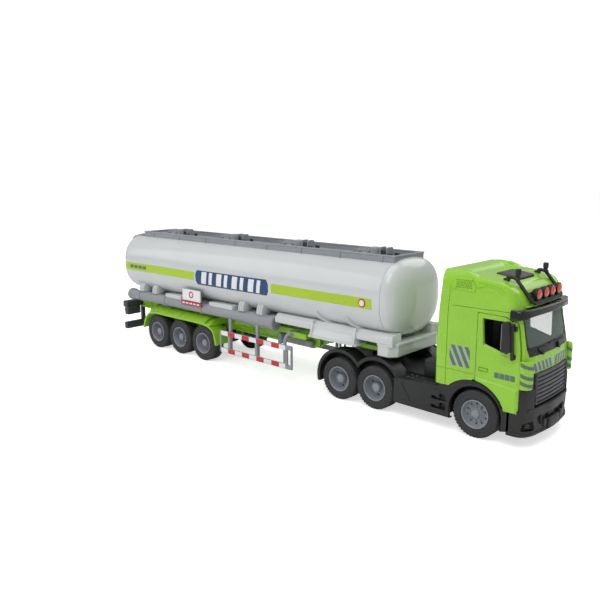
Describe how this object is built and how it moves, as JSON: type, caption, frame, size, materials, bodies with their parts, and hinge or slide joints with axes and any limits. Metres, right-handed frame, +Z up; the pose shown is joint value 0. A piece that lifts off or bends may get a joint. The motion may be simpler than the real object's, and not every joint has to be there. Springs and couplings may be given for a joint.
{
  "type": "toy tanker truck",
  "caption": "Friction toy articulated tanker: cab-over tractor with opening doors and spinning wheels, and an oval tank semi-trailer that swings on its kingpin.",
  "frame": {"origin": "on the ground plane under the middle of the overall length and width", "axes": "+X to the front of the truck, +Y to its left side, +Z up"},
  "size_m": [0.482, 0.088, 0.1253],
  "materials": {
    "lime_plastic": "glossy lime green moulding",
    "black_plastic": "satin black moulding",
    "smoked_plastic": "glossy smoked black",
    "dark_grey_plastic": "satin dark grey moulding",
    "grey_plastic": "satin mid grey moulding",
    "white_plastic": "glossy off-white moulding",
    "natural_plastic": "unpigmented engineering plastic",
    "rim_plastic": "satin blue-grey moulding",
    "tyre": "soft charcoal vinyl",
    "clear_plastic": "clear polished plastic",
    "lamp_lens": "translucent red and orange",
    "circuit_board": "green circuit board",
    "steel": "drawn bright steel"
  },
  "bodies": {
    "tractor": {"tractor_chassis": "black_plastic", "battery_cover": "black_plastic", "button_cells": "steel", "sound_module": "circuit_board", "motor_case": "natural_plastic", "tractor_lower_body": "black_plastic", "cab_shell": "lime_plastic", "cab_interior": "black_plastic", "windscreen": "clear_plastic", "grille": "dark_grey_plastic", "sun_visor": "smoked_plastic", "light_bar": "black_plastic", "roof_lamp_lenses": "lamp_lens", "roof_hatch": "dark_grey_plastic"},
    "flywheel": {"flywheel": "steel"},
    "door_left": {"door_left": "lime_plastic", "mirror_left": "black_plastic"},
    "door_right": {"door_right": "lime_plastic", "mirror_right": "black_plastic"},
    "light_button": {"light_button": "dark_grey_plastic"},
    "sound_button": {"sound_button": "dark_grey_plastic"},
    "trailer": {"trailer_frame": "lime_plastic", "tank_shell": "white_plastic", "tank_base": "white_plastic", "walkway": "grey_plastic", "side_rail_left": "grey_plastic", "side_rail_right": "grey_plastic", "rear_bumper": "dark_grey_plastic"},
    "landing_legs": {"landing_legs": "grey_plastic"},
    "steer_wheels": {"steer_axle": "steel", "steer_tyre_left": "tyre", "steer_tyre_right": "tyre", "steer_rim_left": "rim_plastic", "steer_rim_right": "rim_plastic"},
    "rear_wheels": {"rear_axle": "steel", "rear_tyre_left": "tyre", "rear_tyre_right": "tyre", "rear_rim_left": "rim_plastic", "rear_rim_right": "rim_plastic"},
    "drive_wheels": {"drive_axle": "steel", "drive_tyre_left": "tyre", "drive_tyre_right": "tyre", "drive_rim_left": "rim_plastic", "drive_rim_right": "rim_plastic", "drive_gear": "natural_plastic"},
    "trailer_rear_wheels": {"trailer_rear_axle": "steel", "trailer_rear_tyre_left": "tyre", "trailer_rear_tyre_right": "tyre", "trailer_rear_rim_left": "rim_plastic", "trailer_rear_rim_right": "rim_plastic"},
    "trailer_middle_wheels": {"trailer_middle_axle": "steel", "trailer_middle_tyre_left": "tyre", "trailer_middle_tyre_right": "tyre", "trailer_middle_rim_left": "rim_plastic", "trailer_middle_rim_right": "rim_plastic"},
    "trailer_front_wheels": {"trailer_front_axle": "steel", "trailer_front_tyre_left": "tyre", "trailer_front_tyre_right": "tyre", "trailer_front_rim_left": "rim_plastic", "trailer_front_rim_right": "rim_plastic"}
  },
  "joints": [
    {"name": "steer_axle_spin", "type": "hinge", "parent": "tractor", "child": "steer_wheels", "pos_m": [0.2, 0, 0.0175], "axis": [0, 1, 0], "continuous": true},
    {"name": "rear_axle_spin", "type": "hinge", "parent": "tractor", "child": "rear_wheels", "pos_m": [0.077, 0, 0.0175], "axis": [0, 1, 0], "continuous": true},
    {"name": "drive_axle_spin", "type": "hinge", "parent": "tractor", "child": "drive_wheels", "pos_m": [0.113, 0, 0.0175], "axis": [0, 1, 0], "continuous": true},
    {"name": "trailer_rear_axle_spin", "type": "hinge", "parent": "trailer", "child": "trailer_rear_wheels", "pos_m": [-0.1718, 0, 0.0175], "axis": [0, 1, 0], "continuous": true},
    {"name": "trailer_middle_axle_spin", "type": "hinge", "parent": "trailer", "child": "trailer_middle_wheels", "pos_m": [-0.1344, 0, 0.0175], "axis": [0, 1, 0], "continuous": true},
    {"name": "trailer_front_axle_spin", "type": "hinge", "parent": "trailer", "child": "trailer_front_wheels", "pos_m": [-0.097, 0, 0.0175], "axis": [0, 1, 0], "continuous": true},
    {"name": "flywheel_spin", "type": "hinge", "parent": "tractor", "child": "flywheel", "pos_m": [0.1046, 0, 0.0175], "axis": [0, 1, 0], "continuous": true},
    {"name": "trailer_yaw", "type": "hinge", "parent": "tractor", "child": "trailer", "pos_m": [0.1, 0, 0.0428], "axis": [0, 0, 1], "range_deg": [-35, 35]},
    {"name": "door_left_hinge", "type": "hinge", "parent": "tractor", "child": "door_left", "pos_m": [0.2302, 0.0369, 0.06], "axis": [0, 0, -1], "range_deg": [0, 60]},
    {"name": "door_right_hinge", "type": "hinge", "parent": "tractor", "child": "door_right", "pos_m": [0.2302, -0.0369, 0.06], "axis": [0, 0, 1], "range_deg": [0, 60]},
    {"name": "light_button_press", "type": "slide", "parent": "tractor", "child": "light_button", "axis": [0, 0, -1], "range_m": [0, 0.0012], "stiffness_N_per_m": 200},
    {"name": "sound_button_press", "type": "slide", "parent": "tractor", "child": "sound_button", "axis": [0, 0, -1], "range_m": [0, 0.0012], "stiffness_N_per_m": 200},
    {"name": "landing_legs_fold", "type": "hinge", "parent": "trailer", "child": "landing_legs", "pos_m": [0.032, 0, 0.0363], "axis": [0, -1, 0], "range_deg": [0, 90]}
  ],
  "couplings": [
    {"joint": "flywheel_spin", "follows": "drive_axle_spin", "ratio": -2.5}
  ]
}
